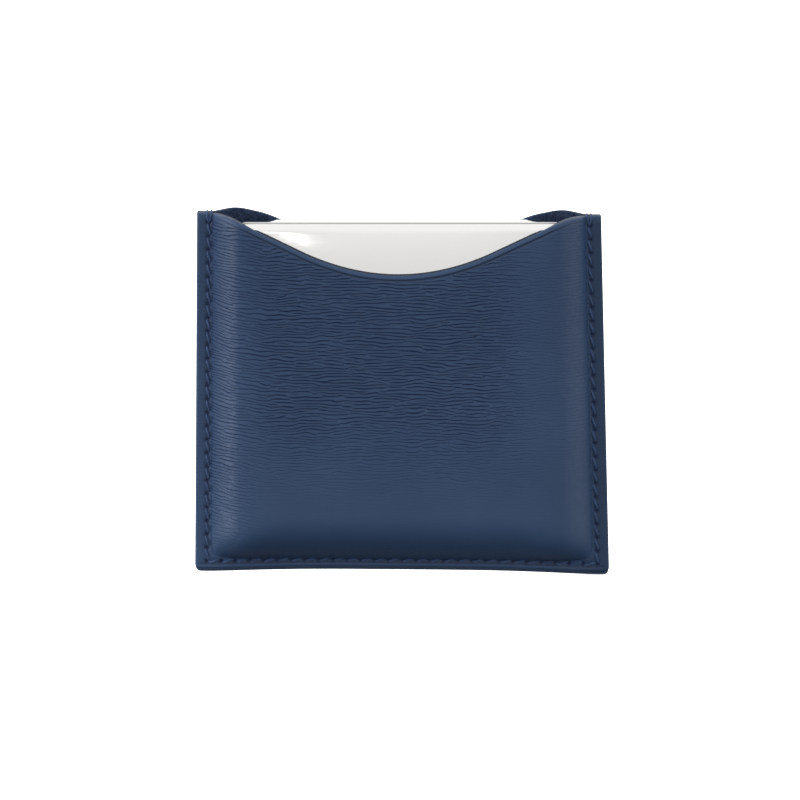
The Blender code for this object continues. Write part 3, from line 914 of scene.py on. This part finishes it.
def outline(inset):
    """Points (x, z) of the case's rounded outline, moved inwards by inset."""
    half_x = CASE_WIDTH / 2 - inset
    half_z = (CASE_TOP - CASE_FLOOR) / 2 - inset
    corner = max(CASE_CORNER - inset, TIGHTEST_CORNER)
    inner_x = half_x - corner
    inner_z = half_z - corner
    corners = (
        ((inner_x, inner_z), 0, (-inner_x, half_z)),
        ((-inner_x, inner_z), 90, (-half_x, -inner_z)),
        ((-inner_x, -inner_z), 180, (inner_x, -half_z)),
        ((inner_x, -inner_z), 270, (half_x, inner_z)))
    points = []
    for middle, start, end in corners:
        for step in range(RING_CORNER + 1):
            angle = math.radians(start + 90 * step / RING_CORNER)
            arm = corner * np.array([math.cos(angle), math.sin(angle)])
            points.append(np.array(middle) + arm)
        begin = points[-1]
        for step in range(1, RING_SIDE):
            points.append(begin + (np.array(end) - begin) * step / RING_SIDE)
    return np.array(points) + np.array([0, (CASE_TOP + CASE_FLOOR) / 2])


def shoulder(x, z):
    """Slow roundness of a shell's face towards its edges, on top of the edge radius."""
    gap_x = CASE_WIDTH / 2 - np.abs(x)
    gap_z = (CASE_TOP - CASE_FLOOR) / 2 - np.abs(z - (CASE_TOP + CASE_FLOOR) / 2)
    flat_x = 1 - np.exp(-gap_x / CROWN_REACH)
    flat_z = 1 - np.exp(-gap_z / CROWN_REACH)
    return FACE_CROWN * (1 - flat_x * flat_z)


def shell(name, node, face_y, parting_y, edge, trim, materials):
    """Half of the case: rim, side wall, rounded edge and a slightly crowned face."""
    inward = 1 if parting_y > face_y else -1
    rings = []
    for inset, y in ((SHEET, parting_y - inward * RIM_DEPTH), (SHEET, parting_y),
                     (RIM_LIP, parting_y), (0.0, parting_y - inward * RIM_LIP)):
        plan = outline(inset + trim)
        rings.append((plan, np.full(len(plan), y)))
    for step in range(EDGE_RINGS + 1):
        angle = math.radians(90 * step / EDGE_RINGS)
        inset = edge * (1 - math.cos(angle)) + trim
        plan = outline(inset)
        drop = edge * (1 - math.sin(angle))
        y = face_y + inward * (drop + shoulder(plan[:, 0], plan[:, 1]))
        rings.append((plan, y))
    last_inset = (CASE_TOP - CASE_FLOOR) / 2 - FACE_CENTRE
    for inset in [edge + step for step in FACE_RINGS] + [last_inset]:
        plan = outline(inset)
        y = face_y + inward * shoulder(plan[:, 0], plan[:, 1])
        rings.append((plan, y))
    count = len(rings[0][0])
    vertices = [(p[0], y, p[1]) for plan, ys in rings for p, y in zip(plan, ys)]
    faces = grid_faces(len(rings), count, 0, wrap=True, flip=inward < 0)
    last = (len(rings) - 1) * count
    cap = tuple(range(last, last + count))
    faces.append(cap if inward > 0 else cap[::-1])
    first = tuple(range(count))
    faces.append(first[::-1] if inward > 0 else first)
    slots = np.zeros(len(faces), dtype=np.int32)
    # Rim faces in the parting gap get the darker rim metal, painted shade of the gap.
    slots[:2 * count] = 1
    slots[-1] = 1
    made = make_object(name, vertices, faces, materials, slots)
    made.data.set_sharp_from_angle(angle=math.radians(SHARP_ANGLE))
    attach(made, "case")
    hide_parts(node)


def build_case(metal, rim):
    shell("lid", "lid_shell", LID_LOW[1], LID_HIGH[1], LID_EDGE, LID_TRIM, [metal, rim])
    shell("base", "base_shell", CASE_HIGH[1], CASE_LOW[1], BASE_EDGE, 0.0, [metal, rim])


def dress_cad(materials):
    """Give each CAD piece that stays its own material."""
    chosen = {
        "tray_insert": "liner", "mirror_frame": "liner", "mirror": "mirror",
        "refill_pan": "pan", "powder_cake": "powder", "base_magnet": "magnet",
        "lid_magnet": "magnet", "pan_magnet": "magnet", "hinge_pin_left": "pin",
        "hinge_pin_right": "pin"}
    for node, key in chosen.items():
        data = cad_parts[node].data
        data.materials.clear()
        data.materials.append(materials[key])


# ---------------------------------------------------------------- stage

def add_light(name, aim, place, size, power):
    data = bpy.data.lights.new(name, "AREA")
    data.shape = "RECTANGLE"
    data.size = size[0]
    data.size_y = size[1]
    data.energy = power
    made = bpy.data.objects.new(name, data)
    made.location = place
    towards = Vector(aim) - Vector(place)
    made.rotation_euler = towards.to_track_quat("-Z", "Y").to_euler()
    bpy.context.scene.collection.objects.link(made)


def graded(tree, height, span, levels):
    """Brightness that changes evenly with height, between two levels."""
    made = tree.nodes.new("ShaderNodeMapRange")
    names = ("From Min", "From Max", "To Min", "To Max")
    for name, value in zip(names, (*span, *levels)):
        made.inputs[name].default_value = value
    tree.links.new(height, made.inputs["Value"])
    return made.outputs["Result"]


def build_world():
    """A soft white studio: bright above, dimmer low down, plain white behind."""
    world = bpy.data.worlds.new("studio")
    world.use_nodes = True
    tree = world.node_tree
    place = tree.nodes.new("ShaderNodeTexCoord")
    axes = tree.nodes.new("ShaderNodeSeparateXYZ")
    tree.links.new(place.outputs["Generated"], axes.inputs["Vector"])
    strength = tree.nodes.new("ShaderNodeMath")
    strength.operation = "MULTIPLY"
    tree.links.new(graded(tree, axes.outputs["Z"], WORLD_SPAN, WORLD_RANGE), strength.inputs[0])
    tree.links.new(graded(tree, axes.outputs["Z"], UNDER_SPAN, UNDER_RANGE), strength.inputs[1])
    studio = tree.nodes["Background"]
    studio.inputs["Color"].default_value = rgb(1.0, 1.0, 1.0)
    tree.links.new(strength.outputs["Value"], studio.inputs["Strength"])
    backdrop = tree.nodes.new("ShaderNodeBackground")
    backdrop.inputs["Color"].default_value = rgb(1.0, 1.0, 1.0)
    backdrop.inputs["Strength"].default_value = BACKDROP
    path = tree.nodes.new("ShaderNodeLightPath")
    mix = tree.nodes.new("ShaderNodeMixShader")
    tree.links.new(path.outputs["Is Camera Ray"], mix.inputs["Fac"])
    tree.links.new(studio.outputs["Background"], mix.inputs[1])
    tree.links.new(backdrop.outputs["Background"], mix.inputs[2])
    tree.links.new(mix.outputs["Shader"], tree.nodes["World Output"].inputs["Surface"])
    bpy.context.scene.world = world


def build_stage():
    """A floor that only the camera and shadows meet, and three lights."""
    bm = bmesh.new()
    bmesh.ops.create_grid(bm, x_segments=8, y_segments=8, size=FLOOR_HALF)
    mesh = bpy.data.meshes.new("floor")
    bm.to_mesh(mesh)
    bm.free()
    mesh.materials.append(floor_material())
    floor = bpy.data.objects.new("floor", mesh)
    bpy.context.scene.collection.objects.link(floor)
    floor.location.z = (BACK_LOW[2] - FLOOR_DROP) * MM
    floor.visible_diffuse = False
    floor.visible_glossy = False
    middle = (0.0, 0.0, CORNER_HEIGHT / 2 * MM)
    add_light("left_softbox", middle, *LEFT_SOFTBOX)
    add_light("right_softbox", middle, *RIGHT_SOFTBOX)
    add_light("small_front_lamp", middle, *FRONT_LAMP)


def build_camera():
    data = bpy.data.cameras.new("camera")
    data.sensor_width = SENSOR_WIDTH
    data.lens = SENSOR_WIDTH * CAMERA_DISTANCE / FIELD_WIDTH
    data.clip_start = 0.01
    camera = bpy.data.objects.new("camera", data)
    tilt = math.radians(CAMERA_ELEVATION)
    away = Vector((0, -math.cos(tilt), math.sin(tilt))) * CAMERA_DISTANCE * MM
    aim = Vector((AIM_X, 0, AIM_Z)) * MM
    camera.location = aim + away
    camera.rotation_euler = (aim - camera.location).to_track_quat("-Z", "Y").to_euler()
    bpy.context.scene.collection.objects.link(camera)
    bpy.context.scene.camera = camera


def main():
    bpy.context.scene.view_settings.view_transform = "Standard"
    edge = edge_material()
    build_sleeve(edge, suede_material())
    build_stitches(thread_material())
    build_case(metal_material("polished_metal", METALS["case"], roughness=0.06, brushed=1.0),
               metal_material("shaded_rim_metal", METALS["rim"], roughness=0.30, brushed=1.0))
    dress_cad({
        "liner": plastic_material(),
        "mirror": metal_material("mirror_silver", METALS["mirror"], roughness=0.03, brushed=1.0),
        "pan": metal_material("pan_aluminium", METALS["pan"], roughness=0.35, brushed=6.0),
        "powder": powder_material(),
        "magnet": metal_material("magnet_plating", METALS["magnet"], roughness=0.30, brushed=2.0),
        "pin": metal_material("pin_steel", METALS["pin"], roughness=0.25, brushed=3.0),
    })
    build_world()
    build_stage()
    build_camera()


main()
